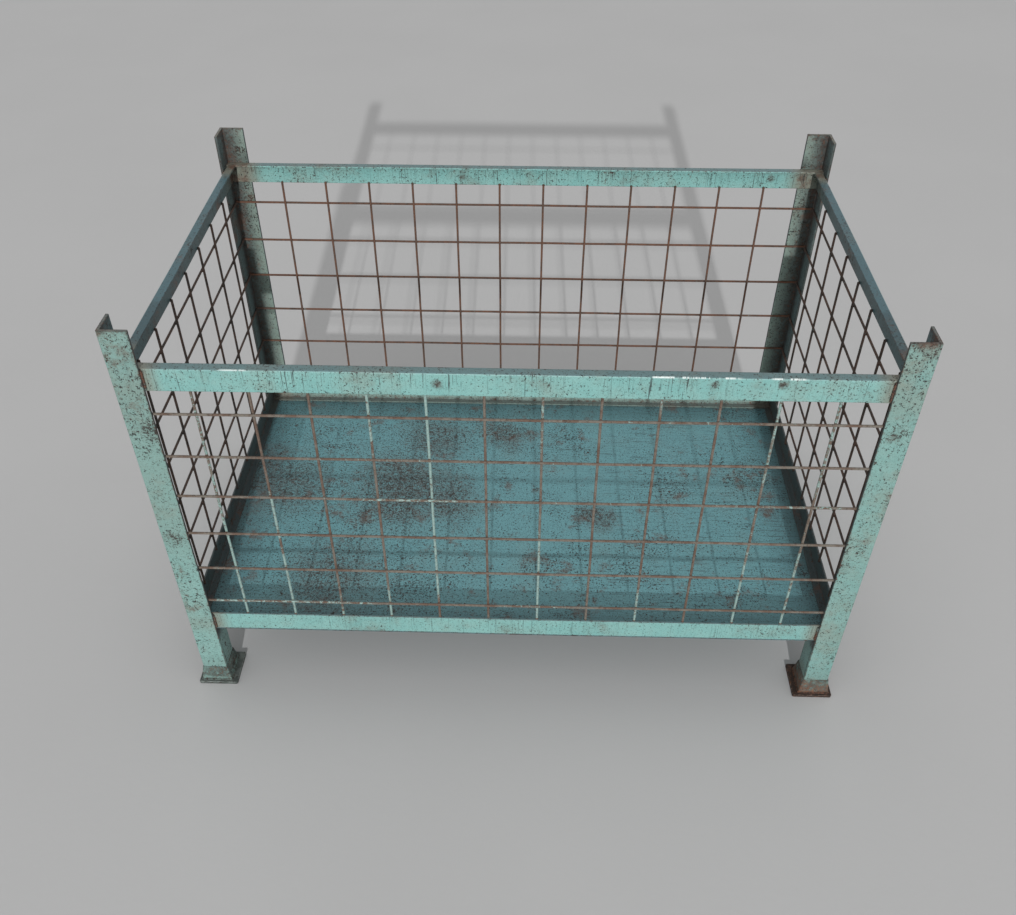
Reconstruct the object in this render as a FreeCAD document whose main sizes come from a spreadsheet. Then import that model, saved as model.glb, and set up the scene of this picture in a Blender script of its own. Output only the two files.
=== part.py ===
import FreeCAD, Part
import math
import os
import Sketcher

# Stacking container of welded steel: four angle posts, each closed to a box at its foot and standing with
# a flared collar on a foot plate, folded rails between them, a sheet floor on stiffeners, and a wire mesh
# panel on each side.
# Millimetres. Origin on the ground at the middle of the footprint, +X along the length, +Y to the rear,
# +Z up.

SIZES = {
    "frame_length": 1354,        # over the posts' outer faces, along X
    "frame_width": 814,          # over the posts' outer faces, along Y
    "frame_height": 915,         # ground to the posts' top ends
    "angle_leg": 52,             # corner post: equal-leg angle
    "angle_thick": 6,
    "angle_corner_radius": 2.5,  # outer corner of the angle
    "angle_toe_radius": 2,       # inner edge of each leg's end
    "plate_size": 84,            # square foot plate
    "plate_thick": 7,
    "plate_overhang": 13,        # beyond the post's outer faces
    "plate_corner_radius": 4,
    "collar_height": 38,         # flared collar round the foot
    "collar_top_thick": 1,
    "collar_foot_thick": 6.5,
    "post_above_rail": 78,       # post's end above the top rail
    "leg_clearance": 168,        # ground to the underside of the bottom rails
    "rail_height": 46,           # folded rail: upright leg
    "rail_lip": 18,              # folded rail: lip, the leg's thickness included
    "rail_thick": 4,
    "rail_fold_radius": 3,       # outside of the fold
    "floor_thick": 3,
    "floor_edge_inset": 8,       # floor's edge inside the posts' outer faces
    "stiffener_leg": 40,
    "stiffener_thick": 4,
    "stiffener_spacing": 338,
    "stiffener_end_inset": 45,   # stiffener's end inside the posts' outer faces
    "wire_diameter": 5,
    "mesh_pitch_along": 100,     # upright to upright
    "mesh_pitch_up": 97,         # cross wire to cross wire
    "mesh_first_long": 124,      # first upright from the left posts' outer faces
    "mesh_first_short": 91,      # first upright from the front posts' outer faces
    "mesh_top_gap": 51,          # top rail's lower edge to the first cross wire
    "wire_lap": 2.5,             # upright's end lapping a rail's leg, where it is tacked
    "wire_end_gap": 1,           # short sides' cross wires clear of the long sides' wires
}

# Levels and depths that follow from the sizes, as expressions.
HALF_LENGTH = "Sizes.frame_length / 2"
HALF_WIDTH = "Sizes.frame_width / 2"
LEG_INNER = "(Sizes.angle_thick + max(Sizes.rail_thick; Sizes.wire_diameter))"  # rail leg's inner face
RAIL_SET = f"({LEG_INNER} - Sizes.rail_thick)"  # rail's outer face inside the posts' outer faces
UPRIGHT_SET = f"({LEG_INNER} + Sizes.wire_diameter / 2)"
CROSS_SET = f"({LEG_INNER} - Sizes.wire_diameter / 2)"
TOP_RAIL_TOP = "(Sizes.frame_height - Sizes.post_above_rail)"
TOP_RAIL_FOOT = f"({TOP_RAIL_TOP} - Sizes.rail_height)"
BOTTOM_RAIL_TOP = "(Sizes.leg_clearance + Sizes.rail_height)"
FLOOR_UNDERSIDE = "(Sizes.leg_clearance - Sizes.floor_thick)"

# Each corner: its signs along X and Y, and the turn about Z that points a piece's +X and +Y inwards.
CORNERS = {
    "front_left": (-1, -1, 0),
    "front_right": (1, -1, 90),
    "rear_right": (1, 1, 180),
    "rear_left": (-1, 1, 270),
}
# Each side: the sign of its place along X and Y, and the turn about Z that points a piece's +Y inwards.
SIDES = {
    "front": (0, -1, 0),
    "right": (1, 0, 90),
    "rear": (0, 1, 180),
    "left": (-1, 0, 270),
}

doc = FreeCAD.newDocument("WireMeshContainer")
sheet = doc.addObject("Spreadsheet::Sheet", "Sizes")


def writeSizes():
    """One row for each driving size, with its name as the alias."""
    for row, (name, value) in enumerate(SIZES.items(), start=1):
        sheet.set(f"A{row}", name)
        sheet.set(f"B{row}", str(value))
        sheet.setAlias(f"B{row}", name)
    doc.recompute()


def turnAbout(axis, degrees):
    return FreeCAD.Rotation(FreeCAD.Vector(*axis), degrees)


def place(piece, rotation, x, y, z):
    """Turn the piece and bind its position to the expressions x, y and z."""
    piece.Placement = FreeCAD.Placement(FreeCAD.Vector(0, 0, 0), rotation)
    for axis, expression in zip("xyz", (x, y, z)):
        piece.setExpression(f".Placement.Base.{axis}", expression)


def originPlane(body, role):
    return next(feature for feature in body.Origin.OriginFeatures if feature.Role == role)


def addSketch(body, role, name):
    sketch = body.newObject("Sketcher::SketchObject", name)
    sketch.AttachmentSupport = [(originPlane(body, role), "")]
    sketch.MapMode = "FlatFace"
    return sketch


def drive(sketch, constraint, expression):
    number = sketch.addConstraint(constraint)
    sketch.renameConstraint(number, f"size{number}")
    sketch.setExpression(f"Constraints.size{number}", expression)


def drawOutline(sketch, points, lengths):
    """Closed outline of level and upright sides through points, each a rough place.

    lengths gives the expressions of some sides' lengths, by the number of the side.
    """
    corners = [FreeCAD.Vector(x, y, 0) for x, y in points]
    for index, corner in enumerate(corners):
        following = (index + 1) % len(corners)
        sketch.addGeometry(Part.LineSegment(corner, corners[following]), False)
    for index, corner in enumerate(corners):
        following = (index + 1) % len(corners)
        level = corner.y == corners[following].y
        sketch.addConstraint(Sketcher.Constraint("Coincident", index, 2, following, 1))
        sketch.addConstraint(Sketcher.Constraint("Horizontal" if level else "Vertical", index))
    for side, expression in lengths.items():
        length = sketch.Geometry[side].length()
        drive(sketch, Sketcher.Constraint("Distance", side, length), expression)


def startAtOrigin(sketch):
    sketch.addConstraint(Sketcher.Constraint("Coincident", 0, 1, -1, 1))


def addPad(body, sketch, length, symmetric=False):
    pad = body.newObject("PartDesign::Pad", "Pad")
    pad.Profile = sketch
    if symmetric:
        pad.SideType = "Symmetric"
    pad.setExpression("Length", length)
    doc.recompute()
    return pad


def roundEdges(body, feature, radius, spots):
    """Fillet the feature's edges along its length whose middle passes one of the spots' tests."""
    edges = enumerate(feature.Shape.Edges, start=1)
    names = [f"Edge{number}" for number, edge in edges if any(spot(edge.BoundBox) for spot in spots)]
    if len(names) != len(spots):
        raise RuntimeError(f"{body.Label}: {len(spots)} edges to round, {len(names)} found")
    fillet = body.newObject("PartDesign::Fillet", "Fillet")
    fillet.Base = (feature, names)
    fillet.setExpression("Radius", radius)
    doc.recompute()
    return fillet


def uprightEdge(x, y):
    return lambda box: box.ZLength > 1 and math.hypot(box.Center.x - x, box.Center.y - y) < 0.01


def makeAngle(label, leg, thick, length):
    """Equal-leg angle along +Z, its outer corner at the origin and its legs along +X and +Y."""
    body = doc.addObject("PartDesign::Body", label)
    sketch = addSketch(body, "XY_Plane", "Section")
    drawOutline(
        sketch,
        [(0, 0), (50, 0), (50, 5), (5, 5), (5, 50), (0, 50)],
        {0: leg, 1: thick, 4: thick, 5: leg},
    )
    startAtOrigin(sketch)
    return body, addPad(body, sketch, length)


def makePost(corner):
    signX, signY, turn = CORNERS[corner]
    body, pad = makeAngle(
        f"post_{corner}",
        "Sizes.angle_leg",
        "Sizes.angle_thick",
        "Sizes.frame_height - Sizes.plate_thick",
    )
    leg = sheet.get("angle_leg")
    thick = sheet.get("angle_thick")
    rounded = roundEdges(body, pad, "Sizes.angle_corner_radius", [uprightEdge(0, 0)])
    toes = [uprightEdge(leg, thick), uprightEdge(thick, leg)]
    roundEdges(body, rounded, "Sizes.angle_toe_radius", toes)
    place(
        body,
        turnAbout((0, 0, 1), turn),
        f"{signX} * {HALF_LENGTH}",
        f"{signY} * {HALF_WIDTH}",
        "Sizes.plate_thick",
    )
    return body


def makeFootPlate(corner):
    signX, signY, turn = CORNERS[corner]
    body = doc.addObject("PartDesign::Body", f"foot_plate_{corner}")
    sketch = addSketch(body, "XY_Plane", "Outline")
    square = [(0, 0), (80, 0), (80, 80), (0, 80)]
    drawOutline(sketch, square, {0: "Sizes.plate_size", 1: "Sizes.plate_size"})
    startAtOrigin(sketch)
    pad = addPad(body, sketch, "Sizes.plate_thick")
    size = sheet.get("plate_size")
    corners = [uprightEdge(x, y) for x in (0, size) for y in (0, size)]
    roundEdges(body, pad, "Sizes.plate_corner_radius", corners)
    place(
        body,
        turnAbout((0, 0, 1), turn),
        f"{signX} * ({HALF_LENGTH} + Sizes.plate_overhang)",
        f"{signY} * ({HALF_WIDTH} + Sizes.plate_overhang)",
        "0",
    )
    return body


def makeFootLiner(corner):
    """Short angle turned towards the post, closing it to a box from the foot plate up to the floor."""
    signX, signY, turn = CORNERS[corner]
    body, pad = makeAngle(
        f"foot_liner_{corner}",
        "Sizes.angle_leg - Sizes.angle_thick",
        "Sizes.angle_thick",
        f"{FLOOR_UNDERSIDE} - Sizes.plate_thick",
    )
    roundEdges(body, pad, "Sizes.angle_corner_radius", [uprightEdge(0, 0)])
    place(
        body,
        turnAbout((0, 0, 1), turn + 180),
        f"{signX} * ({HALF_LENGTH} - Sizes.angle_leg)",
        f"{signY} * ({HALF_WIDTH} - Sizes.angle_leg)",
        "Sizes.plate_thick",
    )
    return body


def makeFootCollar(corner):
    """Collar round the boxed foot, wider at the plate than at its top."""
    signX, signY, turn = CORNERS[corner]
    body = doc.addObject("PartDesign::Body", f"foot_collar_{corner}")
    outer = addSketch(body, "XY_Plane", "Outline")
    side = "Sizes.angle_leg + 2 * Sizes.collar_foot_thick"
    drawOutline(outer, [(0, 0), (60, 0), (60, 60), (0, 60)], {0: side, 1: side})
    startAtOrigin(outer)
    pad = addPad(body, outer, "Sizes.collar_height")
    slope = "(Sizes.collar_foot_thick - Sizes.collar_top_thick) / Sizes.collar_height"
    pad.setExpression("TaperAngle", f"-atan({slope})")
    hole = addSketch(body, "XY_Plane", "Hole")
    drawOutline(
        hole,
        [(6, 6), (56, 6), (56, 56), (6, 56)],
        {0: "Sizes.angle_leg", 1: "Sizes.angle_leg"},
    )
    for axis in ("DistanceX", "DistanceY"):
        drive(hole, Sketcher.Constraint(axis, -1, 1, 0, 1, 6), "Sizes.collar_foot_thick")
    pocket = body.newObject("PartDesign::Pocket", "Hole")
    pocket.Profile = hole
    pocket.SideType = "Symmetric"
    pocket.Type = "ThroughAll"
    doc.recompute()
    top = pocket.Shape.BoundBox.ZMax
    rims = [edge.BoundBox for edge in pocket.Shape.Edges if edge.BoundBox.ZMin > top - 0.01]
    reach = sheet.get("angle_leg") + sheet.get("collar_foot_thick") + sheet.get("collar_top_thick")
    if abs(max(rim.XMax for rim in rims) - reach) > 0.01:
        raise RuntimeError(f"{body.Label}: its sides do not slope inwards as they should")
    place(
        body,
        turnAbout((0, 0, 1), turn),
        f"{signX} * ({HALF_LENGTH} + Sizes.collar_foot_thick)",
        f"{signY} * ({HALF_WIDTH} + Sizes.collar_foot_thick)",
        "Sizes.plate_thick",
    )
    return body


def foldEdge(box):
    return box.XLength > 50 and math.hypot(box.Center.y, box.Center.z) < 0.01


def addFoldedRail(label, length):
    """Folded rail along X, centred: its fold at the origin, its leg down and its lip inwards along +Y."""
    body = doc.addObject("PartDesign::Body", label)
    sketch = addSketch(body, "YZ_Plane", "Section")
    drawOutline(
        sketch,
        [(0, 0), (0, -46), (4, -46), (4, -4), (18, -4), (18, 0)],
        {0: "Sizes.rail_height", 1: "Sizes.rail_thick", 4: "Sizes.rail_thick", 5: "Sizes.rail_lip"},
    )
    startAtOrigin(sketch)
    pad = addPad(body, sketch, length, symmetric=True)
    return body, roundEdges(body, pad, "Sizes.rail_fold_radius", [foldEdge])


def copeEnds(body, length):
    """Cut back the lip and the fold at both ends, where the long sides' lips pass over the leg."""
    before = body.Shape.Volume
    sketch = addSketch(body, "XZ_Plane", "Cope")
    drawOutline(
        sketch,
        [(300, -4), (320, -4), (320, 0), (300, 0)],
        {0: "Sizes.rail_lip - Sizes.rail_thick", 1: "Sizes.rail_thick"},
    )
    drive(sketch, Sketcher.Constraint("DistanceX", -1, 1, 1, 1, 320), f"{length} / 2")
    sketch.addConstraint(Sketcher.Constraint("PointOnObject", 2, 1, -1))
    pocket = body.newObject("PartDesign::Pocket", "Cope")
    pocket.Profile = sketch
    pocket.SideType = "Symmetric"
    pocket.Type = "ThroughAll"
    doc.recompute()
    mirrored = body.newObject("PartDesign::Mirrored", "CopeBothEnds")
    mirrored.Originals = [pocket]
    mirrored.MirrorPlane = (originPlane(body, "YZ_Plane"), [""])
    body.Tip = mirrored
    doc.recompute()
    if not body.Shape.Volume < pocket.Shape.Volume < before:
        raise RuntimeError(f"{body.Label}: its ends were not coped")


def makeRail(level, side):
    """Top rails have their lip at the top; bottom rails are the same section turned over."""
    signX, signY, turn = SIDES[side]
    onLongSide = signX == 0
    if onLongSide:
        length = "(Sizes.frame_length - 2 * Sizes.angle_thick)"
    else:
        length = f"(Sizes.frame_width - 2 * {LEG_INNER})"
    body, _ = addFoldedRail(f"{level}_rail_{side}", length)
    if not onLongSide:
        copeEnds(body, length)
    rotation = turnAbout((0, 0, 1), turn)
    height = TOP_RAIL_TOP
    if level == "bottom":
        rotation = rotation.multiply(turnAbout((0, 1, 0), 180))
        height = "Sizes.leg_clearance"
    place(
        body,
        rotation,
        f"{signX} * ({HALF_LENGTH} - {RAIL_SET})",
        f"{signY} * ({HALF_WIDTH} - {RAIL_SET})",
        height,
    )
    return body


def makeFloorSheet():
    """Plain sheet welded under the bottom rails' lips, its corners inside the posts' angles."""
    body = doc.addObject("PartDesign::Body", "floor_sheet")
    sketch = addSketch(body, "XY_Plane", "Outline")
    drawOutline(
        sketch,
        [(0, 0), (1300, 0), (1300, 800), (0, 800)],
        {
            0: "Sizes.frame_length - 2 * Sizes.floor_edge_inset",
            1: "Sizes.frame_width - 2 * Sizes.floor_edge_inset",
        },
    )
    startAtOrigin(sketch)
    addPad(body, sketch, "Sizes.floor_thick")
    place(
        body,
        FreeCAD.Rotation(),
        f"Sizes.floor_edge_inset - {HALF_LENGTH}",
        f"Sizes.floor_edge_inset - {HALF_WIDTH}",
        FLOOR_UNDERSIDE,
    )
    return body


def makeStiffener(name, step):
    """Angle from front to rear, one leg flat under the floor and the other down."""
    body, _ = makeAngle(
        f"floor_stiffener_{name}",
        "Sizes.stiffener_leg",
        "Sizes.stiffener_thick",
        "Sizes.frame_width - 2 * Sizes.stiffener_end_inset",
    )
    place(
        body,
        turnAbout((1, 0, 0), -90),
        f"{step} * Sizes.stiffener_spacing - Sizes.stiffener_leg / 2",
        f"Sizes.stiffener_end_inset - {HALF_WIDTH}",
        FLOOR_UNDERSIDE,
    )
    return body


def addWire(name, length, rotation, x, y, z):
    wire = doc.addObject("Part::Cylinder", name)
    wire.setExpression("Radius", "Sizes.wire_diameter / 2")
    wire.setExpression("Height", length)
    place(wire, rotation, x, y, z)
    return wire


def gatherWires(label, wires):
    group = doc.addObject("Part::Compound", label)
    group.Links = wires
    return group


def countFitting(span, pitch):
    return math.floor(span / pitch) + 1


def makeUprights(side):
    """Uprights on the inner faces of the rails' legs, the first one at its gap from the left or front."""
    signX, signY, _ = SIDES[side]
    onLongSide = signX == 0
    overall = "frame_length" if onLongSide else "frame_width"
    first = "mesh_first_long" if onLongSide else "mesh_first_short"
    span = sheet.get(overall) - sheet.get(first) - sheet.get("angle_leg")
    wires = []
    for index in range(countFitting(span, sheet.get("mesh_pitch_along"))):
        along = f"Sizes.{first} + {index} * Sizes.mesh_pitch_along - Sizes.{overall} / 2"
        wires.append(
            addWire(
                f"{side}_upright_{index + 1}",
                f"{TOP_RAIL_FOOT} - {BOTTOM_RAIL_TOP} + 2 * Sizes.wire_lap",
                FreeCAD.Rotation(),
                along if onLongSide else f"{signX} * ({HALF_LENGTH} - {UPRIGHT_SET})",
                f"{signY} * ({HALF_WIDTH} - {UPRIGHT_SET})" if onLongSide else along,
                f"{BOTTOM_RAIL_TOP} - Sizes.wire_lap",
            )
        )
    return gatherWires(f"{side}_uprights", wires)


def makeCrossWires(side):
    """Level wires outside the uprights, laid against the posts' legs."""
    signX, signY, _ = SIDES[side]
    onLongSide = signX == 0
    pastLongWires = f"({CROSS_SET} + Sizes.wire_diameter / 2 + Sizes.wire_end_gap)"
    end = "Sizes.angle_thick" if onLongSide else pastLongWires
    half = HALF_LENGTH if onLongSide else HALF_WIDTH
    rotation = turnAbout((0, 1, 0), 90) if onLongSide else turnAbout((1, 0, 0), -90)
    start = f"{end} - {half}"
    clear = sheet.get("frame_height") - sheet.get("post_above_rail") - sheet.get("leg_clearance")
    clear = clear - 2 * sheet.get("rail_height") - sheet.get("mesh_top_gap")
    wires = []
    for index in range(countFitting(clear, sheet.get("mesh_pitch_up"))):
        wires.append(
            addWire(
                f"{side}_cross_wire_{index + 1}",
                f"2 * ({half} - {end})",
                rotation,
                start if onLongSide else f"{signX} * ({HALF_LENGTH} - {CROSS_SET})",
                f"{signY} * ({HALF_WIDTH} - {CROSS_SET})" if onLongSide else start,
                f"{TOP_RAIL_FOOT} - Sizes.mesh_top_gap - {index} * Sizes.mesh_pitch_up",
            )
        )
    return gatherWires(f"{side}_cross_wires", wires)


def makePieces():
    pieces = []
    for corner in CORNERS:
        pieces.append(makeFootPlate(corner))
        pieces.append(makePost(corner))
        pieces.append(makeFootLiner(corner))
        pieces.append(makeFootCollar(corner))
    for side in SIDES:
        pieces.append(makeRail("bottom", side))
        pieces.append(makeRail("top", side))
    pieces.append(makeFloorSheet())
    for name, step in (("left", -1), ("middle", 0), ("right", 1)):
        pieces.append(makeStiffener(name, step))
    for side in SIDES:
        pieces.append(makeUprights(side))
        pieces.append(makeCrossWires(side))
    return pieces


def checkPieces(pieces):
    doc.recompute()
    for thing in doc.Objects:
        if "Invalid" in thing.State or "Error" in thing.State:
            raise RuntimeError(f"{thing.Label}: {thing.State}")
    for piece in pieces:
        if piece.Shape.isNull() or not piece.Shape.isValid():
            raise RuntimeError(f"{piece.Label} has no valid shape")


writeSizes()
pieces = makePieces()
checkPieces(pieces)
os.makedirs("parts", exist_ok=True)
for piece in pieces:
    piece.Shape.exportStep(f"parts/{piece.Label}.step")
print(f"{len(pieces)} nodes, {sum(len(piece.Shape.Solids) for piece in pieces)} solids")
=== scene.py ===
import bmesh
import bpy
import math
from mathutils import Matrix, Vector, noise


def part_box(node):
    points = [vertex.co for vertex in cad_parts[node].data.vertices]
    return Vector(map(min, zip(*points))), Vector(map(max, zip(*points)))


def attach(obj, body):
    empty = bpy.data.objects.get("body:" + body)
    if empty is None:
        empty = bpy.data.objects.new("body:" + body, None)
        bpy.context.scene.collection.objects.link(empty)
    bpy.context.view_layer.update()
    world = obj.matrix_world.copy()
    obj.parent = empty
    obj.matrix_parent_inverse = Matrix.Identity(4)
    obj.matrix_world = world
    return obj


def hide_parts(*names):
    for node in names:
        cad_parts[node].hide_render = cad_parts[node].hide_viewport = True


# without a seed, noise_vector takes one from the clock and each run comes out a little different
noise.seed_set(1)

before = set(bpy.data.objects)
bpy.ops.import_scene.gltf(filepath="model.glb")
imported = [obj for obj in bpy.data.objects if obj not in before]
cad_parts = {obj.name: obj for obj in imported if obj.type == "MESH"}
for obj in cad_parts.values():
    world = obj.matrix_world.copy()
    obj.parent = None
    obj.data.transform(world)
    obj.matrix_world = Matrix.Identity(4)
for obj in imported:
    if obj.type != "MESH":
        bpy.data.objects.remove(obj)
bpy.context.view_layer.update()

corners = {"front_left": (-1, -1), "front_right": (1, -1), "rear_right": (1, 1), "rear_left": (-1, 1)}
sides = ("front", "right", "rear", "left")


class Signal:
    # one output of a node; an expression on it adds Math nodes
    def __init__(self, graph, socket):
        self.graph = graph
        self.socket = socket

    def maths(self, operation, first, second):
        return self.graph.node("ShaderNodeMath", {"operation": operation}, {0: first, 1: second})

    def __add__(self, other):
        return self.maths("ADD", self, other)

    def __sub__(self, other):
        return self.maths("SUBTRACT", self, other)

    def __rsub__(self, other):
        return self.maths("SUBTRACT", other, self)

    def __mul__(self, other):
        return self.maths("MULTIPLY", self, other)

    __radd__ = __add__
    __rmul__ = __mul__

    def __abs__(self):
        return self.maths("ABSOLUTE", self, 0.0)

    def most(self, other):
        return self.maths("MAXIMUM", self, other)

    def between(self, low, high):
        # 0 up to low and 1 from high, smooth on the way; low may be the larger one
        feeds = {"Value": self, "From Min": low, "From Max": high}
        return self.graph.node("ShaderNodeMapRange", {"interpolation_type": "SMOOTHSTEP"}, feeds)

    def beside(self, name):
        # another output of the same node
        return Signal(self.graph, self.socket.node.outputs[name])


class Graph:
    # the nodes of one material
    def __init__(self, name):
        self.material = bpy.data.materials.new(name)
        self.material.use_nodes = True
        self.tree = self.material.node_tree
        self.tree.nodes.clear()
        self.place = self.node("ShaderNodeTexCoord", output="Object")
        self.facing = self.node("ShaderNodeTexCoord", output="Normal")

    def node(self, kind, settings=None, feeds=None, output=0):
        made = self.tree.nodes.new(kind)
        for name, value in (settings or {}).items():
            setattr(made, name, value)
        for name, value in (feeds or {}).items():
            if isinstance(value, Signal):
                self.tree.links.new(value.socket, made.inputs[name])
            else:
                made.inputs[name].default_value = value
        return Signal(self, made.outputs[output]) if made.outputs else None

    def axis(self, letter, source=None):
        return self.node("ShaderNodeSeparateXYZ", None, {0: source or self.place}, letter)

    def stretched(self, x, y, z):
        return self.node("ShaderNodeMapping", None, {"Vector": self.place, "Scale": (x, y, z)})

    def cloud(self, scale, detail=3.0, roughness=0.55, place=None):
        feeds = {"Vector": place or self.place, "Scale": scale, "Detail": detail, "Roughness": roughness}
        return self.node("ShaderNodeTexNoise", None, feeds)

    def ragged(self, scale, reach):
        # the place pushed about by a noise, which gives spots ragged outlines
        feeds = {"Vector": self.place, "Scale": scale, "Detail": 3.0, "Roughness": 0.6}
        push = self.node("ShaderNodeTexNoise", None, feeds, 1)
        pushed = {0: push, 1: (reach, reach, reach), 2: self.place}
        moved = self.node("ShaderNodeVectorMath", {"operation": "MULTIPLY_ADD"}, pushed)
        back = {0: moved, 1: (-reach / 2, -reach / 2, -reach / 2)}
        return self.node("ShaderNodeVectorMath", {"operation": "ADD"}, back)

    def spots(self, scale, share, place, softness=0.1):
        # spots of all sizes in a share of the cells; scale is the number of cells in a metre
        distance = self.node("ShaderNodeTexVoronoi", None, {"Vector": place, "Scale": scale}, "Distance")
        chance = distance.beside("Color")
        chosen = (self.axis("X", chance) + share).between(1.0, 1.04)
        reach = self.axis("Y", chance) * 0.38 + 0.12
        return chosen * (reach - distance).between(0.0, softness)

    def stain(self, spot, radius, warped):
        # 1 in the middle of a round stain, 0 at its radius
        away = self.node("ShaderNodeVectorMath", {"operation": "DISTANCE"}, {0: warped, 1: spot}, "Value")
        return away.between(radius, radius * 0.15)

    def mix(self, factor, first, second):
        return self.node("ShaderNodeMix", {"data_type": "RGBA"}, {0: factor, 6: first, 7: second}, 2)

    def attribute(self, name):
        return self.node("ShaderNodeAttribute", {"attribute_name": name}, output="Fac")

    def finish(self, colour, roughness, height, depth, metallic=0.0):
        bump = self.node("ShaderNodeBump", None, {"Distance": depth, "Height": height})
        feeds = {"Base Color": colour, "Roughness": roughness, "Metallic": metallic, "Normal": bump}
        shader = self.node("ShaderNodeBsdfPrincipled", None, feeds)
        self.node("ShaderNodeOutputMaterial", None, {"Surface": shader})
        return self.material


def tint(red, green, blue):
    return (red, green, blue, 1.0)


rust = {
    "dark": tint(0.026, 0.016, 0.011),
    "brown": tint(0.120, 0.052, 0.030),
    "orange": tint(0.300, 0.115, 0.040),
    "dirt": tint(0.215, 0.205, 0.160),
    "soot": tint(0.026, 0.030, 0.030),
    "pepper": tint(0.013, 0.012, 0.011),
}


def fadedAndShadedEnamel(graph, look, faces):
    # enamel faded in broad clouds; upward and inward faces are given darker colours, which is painted shade
    broad = graph.cloud(look["fadeScale"], 4.0, 0.6)
    colour = graph.mix(broad.between(0.36, 0.66), look["light"], look["deep"])
    colour = graph.mix(graph.cloud(45.0, 4.0, 0.65).between(0.35, 0.75) * 0.4, colour, look["chalk"])
    # painted shade: upward faces take the darker top colour and inward faces the dark inside colour, as if
    # the light reached them less
    colour = graph.mix(faces["upward"], colour, look["top"])
    colour = graph.mix(faces["inward"], colour, look["inside"])
    if "outside" in look:
        colour = graph.mix(faces["outward"], colour, look["outside"])
    return colour, broad


def dirtAndShadeOver(graph, look, place, faces, grain, colour):
    # grime at the joints and in patches, browner where it is thick; then painted shade in the corners and
    # along the look's shade mask, which on the posts also carries rust and soot
    x, y, z = place
    grime = graph.cloud(9.0, 5.0, 0.7).between(0.44, 0.72) * look["grime"]
    joint = look["jointDirt"](x, y, z)
    roughened = (joint + (grain - 0.5) * 0.6 * joint).between(0.05, 1.0)
    colour = graph.mix(grime.most(roughened * 0.85) * (1.0 - faces["inward"] * 0.7), colour, rust["dirt"])
    browned = (joint + (graph.cloud(34.0, 4.0, 0.75) - 0.5) * 1.5).between(0.85, 1.3)
    cleanFoot = z.between(0.12, 0.08) * x.between(0.2, -0.2)
    colour = graph.mix(browned * 0.8 * (1.0 - cleanFoot * 0.85), colour, rust["brown"])
    # painted shade: the look's shade mask, outer faces spared, and the angle's corner darken the colour; on
    # the posts the shade mask is rust and soot instead
    shadeAndSoot = look["shade"](x, y, z) * (1.0 - faces["outward"])
    if "crook" in look:
        shadeAndSoot = shadeAndSoot.most(faces["inward"] * look["crook"](y))
        shadeAndSoot = shadeAndSoot.most(faces["inwardY"] * look["crook"](x * 0.6))
    return graph.mix(shadeAndSoot + (grain - 0.5) * 0.5 * shadeAndSoot, colour, look["shadeAndSoot"]), grime


def hangingRuns(graph, z):
    # thin streaks of dirt in clusters, of uneven length, that hang from the top rails' folds
    threads = graph.cloud(1.0, 3.0, 0.85, graph.stretched(230.0, 230.0, 5.0)).between(0.550, 0.592)
    where = graph.cloud(1.0, 4.0, 0.85, graph.stretched(26.0, 26.0, 1.0)).between(0.42, 0.58)
    length = (graph.cloud(1.0, 2.0, 0.6, graph.stretched(170.0, 170.0, 1.0)) - 0.5) * 0.11
    fromTop = (z + length).between(topRailLow.z + 0.001, topRailLow.z + 0.021)
    fromBottom = z.between(lowRailLow.z - 0.002, lowRailHigh.z - 0.008) * z.between(0.40, 0.30) * 0.55
    return threads * where * (fromTop.most(fromBottom) * 0.75 + 0.25)


def rustFoot(graph, place, grain, colour):
    # rust creeps up the right feet
    x, y, z = place
    patchy = graph.cloud(55.0, 5.0, 0.8)
    creeping = x.between(0.3, 0.6) * (z + (patchy - 0.5) * 0.12).between(0.048, 0.012)
    eaten = graph.mix(grain.between(0.36, 0.50), rust["dark"], rust["brown"])
    eaten = graph.mix(grain.between(0.54, 0.70), eaten, rust["orange"])
    return graph.mix(creeping * 0.8, colour, eaten)


def stainPaint(graph, look, colour):
    # rusty stains at their own places, crusted with dark specks
    wandering = graph.ragged(*look["wander"])
    blots = graph.cloud(60.0, 5.0, 0.8).between(0.36, 0.60)
    covered = None
    for spot, radius, strength in look["stains"]:
        stain = graph.stain(spot, radius, wandering) * strength
        covered = covered.most(stain) if covered else stain
    colour = graph.mix(covered * look["stainSoot"], colour, rust["soot"])
    colour = graph.mix(covered * blots * look["stainBrown"], colour, rust["brown"])
    fine = (graph.cloud(210.0, 3.0, 0.8) + covered * 0.10).between(0.620, 0.645)
    coarse = (graph.cloud(95.0, 5.0, 0.8) + covered * 0.09).between(0.622, 0.642)
    return graph.mix(fine.most(coarse * covered.between(0.0, 0.3)) * 0.88, colour, rust["dark"])


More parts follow.
